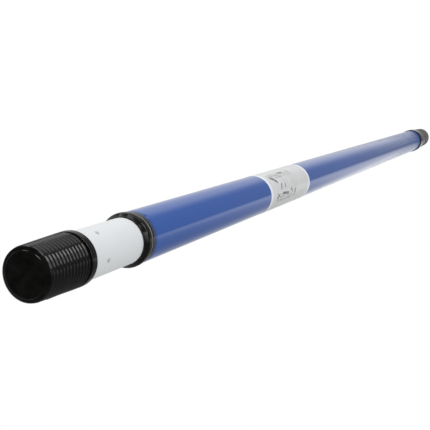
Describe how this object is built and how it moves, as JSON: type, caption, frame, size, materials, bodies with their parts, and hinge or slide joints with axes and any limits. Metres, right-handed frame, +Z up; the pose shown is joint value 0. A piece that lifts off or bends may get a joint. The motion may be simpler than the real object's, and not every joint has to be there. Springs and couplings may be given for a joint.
{
  "type": "roller shutter motor",
  "caption": "Roller shutter winding tube with a built-in tubular motor: ribbed head, white motor housing, blue tube on a crown ring, and a free-turning ribbed idler end.",
  "frame": {"origin": "centre of the flat end face of the ribbed head, which the motor is held by", "axes": "+X along the turning axis from the head to the idler end, +Z up, so the cable socket faces down and the setting button faces +Y"},
  "size_m": [1.411, 0.0428, 0.0428],
  "materials": {
    "black_plastic": "glass-filled moulded nylon, satin black",
    "white_enamel": "steel tube, smooth white enamel",
    "blue_enamel": "steel tube, glossy blue enamel",
    "label_film": "pale grey printed film, satin",
    "rubber": "brownish grey moulded rubber",
    "steel": "bright turned and ground steel",
    "iron": "electrical steel, dark oxide",
    "aluminium": "die-cast and drawn aluminium",
    "copper": "varnished copper wire",
    "brass": "tinned brass",
    "bronze": "oil-filled sintered bronze",
    "board": "glass-epoxy board with green solder mask",
    "grey_plastic": "moulded dark grey plastic, satin",
    "nylon": "natural nylon",
    "wire_sleeve": "brown flexible sleeve",
    "brake_lining": "pressed friction lining",
    "magnet": "sintered ferrite"
  },
  "bodies": {
    "motor_head": {"board_carrier": "grey_plastic", "board_lead": "wire_sleeve", "brake_pot": "iron", "brake_spring": "steel", "brake_winding": "copper", "button_switch": "grey_plastic", "cable_socket": "grey_plastic", "control_board": "board", "front_bush": "bronze", "front_end_bell": "aluminium", "gearbox_cover": "aluminium", "head_cap": "black_plastic", "head_collar": "black_plastic", "head_core": "black_plastic", "housing_tube": "white_enamel", "output_bush": "bronze", "rear_bush": "bronze", "rear_end_bell": "aluminium", "relay_down": "grey_plastic", "relay_up": "grey_plastic", "ring_gear": "nylon", "run_capacitor": "aluminium", "socket_contacts": "brass", "stator_core": "iron", "stator_windings": "copper"},
    "tube": {"winding_tube": "blue_enamel", "label": "label_film", "crown_ring": "black_plastic", "crown_seal": "rubber", "drive_adapter": "black_plastic", "adapter_rivet_a": "steel", "adapter_rivet_b": "steel", "output_shaft": "steel", "output_carrier": "steel", "shaft_clip": "steel", "end_flange": "black_plastic", "idler_bush": "bronze"},
    "idler_spigot": {"end_cap": "grey_plastic", "idler_sleeve": "grey_plastic", "idler_axle": "steel", "axle_clip": "steel"},
    "rotor": {"rotor_shaft": "steel", "rotor_core": "iron", "rotor_cage": "aluminium", "encoder_magnet": "magnet", "brake_disc": "brake_lining", "sun_gear": "steel"},
    "carrier_1": {"carrier_1": "steel"},
    "carrier_2": {"carrier_2": "steel"},
    "setting_button": {"setting_button": "grey_plastic"},
    "brake_armature": {"brake_armature": "iron"},
    "planet_1a": {"planet_gear_1a": "nylon"},
    "planet_1b": {"planet_gear_1b": "nylon"},
    "planet_1c": {"planet_gear_1c": "nylon"},
    "planet_2a": {"planet_gear_2a": "nylon"},
    "planet_2b": {"planet_gear_2b": "nylon"},
    "planet_2c": {"planet_gear_2c": "nylon"},
    "planet_3a": {"planet_gear_3a": "nylon"},
    "planet_3b": {"planet_gear_3b": "nylon"},
    "planet_3c": {"planet_gear_3c": "nylon"}
  },
  "joints": [
    {"name": "tube_spin", "type": "hinge", "parent": "motor_head", "child": "tube", "pos_m": [0.131, 0, 0], "axis": [1, 0, 0], "continuous": true},
    {"name": "idler_spin", "type": "hinge", "parent": "tube", "child": "idler_spigot", "pos_m": [1.5, 0, 0], "axis": [1, 0, 0], "continuous": true},
    {"name": "rotor_spin", "type": "hinge", "parent": "motor_head", "child": "rotor", "pos_m": [0.33, 0, 0], "axis": [1, 0, 0], "continuous": true},
    {"name": "carrier_1_spin", "type": "hinge", "parent": "motor_head", "child": "carrier_1", "pos_m": [0.401, 0, 0], "axis": [1, 0, 0], "continuous": true},
    {"name": "carrier_2_spin", "type": "hinge", "parent": "motor_head", "child": "carrier_2", "pos_m": [0.421, 0, 0], "axis": [1, 0, 0], "continuous": true},
    {"name": "planet_1a_spin", "type": "hinge", "parent": "carrier_1", "child": "planet_1a", "pos_m": [0.3933, 0, -0.0084], "axis": [1, 0, 0], "continuous": true},
    {"name": "planet_1b_spin", "type": "hinge", "parent": "carrier_1", "child": "planet_1b", "pos_m": [0.3933, 0.00727, 0.0042], "axis": [1, 0, 0], "continuous": true},
    {"name": "planet_1c_spin", "type": "hinge", "parent": "carrier_1", "child": "planet_1c", "pos_m": [0.3933, -0.00727, 0.0042], "axis": [1, 0, 0], "continuous": true},
    {"name": "planet_2a_spin", "type": "hinge", "parent": "carrier_2", "child": "planet_2a", "pos_m": [0.4133, 0, -0.0084], "axis": [1, 0, 0], "continuous": true},
    {"name": "planet_2b_spin", "type": "hinge", "parent": "carrier_2", "child": "planet_2b", "pos_m": [0.4133, 0.00727, 0.0042], "axis": [1, 0, 0], "continuous": true},
    {"name": "planet_2c_spin", "type": "hinge", "parent": "carrier_2", "child": "planet_2c", "pos_m": [0.4133, -0.00727, 0.0042], "axis": [1, 0, 0], "continuous": true},
    {"name": "planet_3a_spin", "type": "hinge", "parent": "tube", "child": "planet_3a", "pos_m": [0.4333, 0, -0.0084], "axis": [1, 0, 0], "continuous": true},
    {"name": "planet_3b_spin", "type": "hinge", "parent": "tube", "child": "planet_3b", "pos_m": [0.4333, 0.00727, 0.0042], "axis": [1, 0, 0], "continuous": true},
    {"name": "planet_3c_spin", "type": "hinge", "parent": "tube", "child": "planet_3c", "pos_m": [0.4333, -0.00727, 0.0042], "axis": [1, 0, 0], "continuous": true},
    {"name": "button_press", "type": "slide", "parent": "motor_head", "child": "setting_button", "axis": [0, -1, 0], "range_m": [0, 0.0008], "stiffness_N_per_m": 900, "springref_m": -0.0004},
    {"name": "brake_release", "type": "slide", "parent": "motor_head", "child": "brake_armature", "axis": [1, 0, 0], "range_m": [0, 0.0005], "stiffness_N_per_m": 4000, "springref_m": -0.002, "deforming": ["brake_spring"]}
  ],
  "couplings": [
    {"joint": "rotor_spin", "follows": "tube_spin", "ratio": 101.63},
    {"joint": "carrier_1_spin", "follows": "tube_spin", "ratio": 21.778},
    {"joint": "carrier_2_spin", "follows": "tube_spin", "ratio": 4.6667},
    {"joint": "planet_1a_spin", "follows": "tube_spin", "ratio": -59.889},
    {"joint": "planet_1b_spin", "follows": "tube_spin", "ratio": -59.889},
    {"joint": "planet_1c_spin", "follows": "tube_spin", "ratio": -59.889},
    {"joint": "planet_2a_spin", "follows": "tube_spin", "ratio": -12.833},
    {"joint": "planet_2b_spin", "follows": "tube_spin", "ratio": -12.833},
    {"joint": "planet_2c_spin", "follows": "tube_spin", "ratio": -12.833},
    {"joint": "planet_3a_spin", "follows": "tube_spin", "ratio": -2.75},
    {"joint": "planet_3b_spin", "follows": "tube_spin", "ratio": -2.75},
    {"joint": "planet_3c_spin", "follows": "tube_spin", "ratio": -2.75}
  ]
}
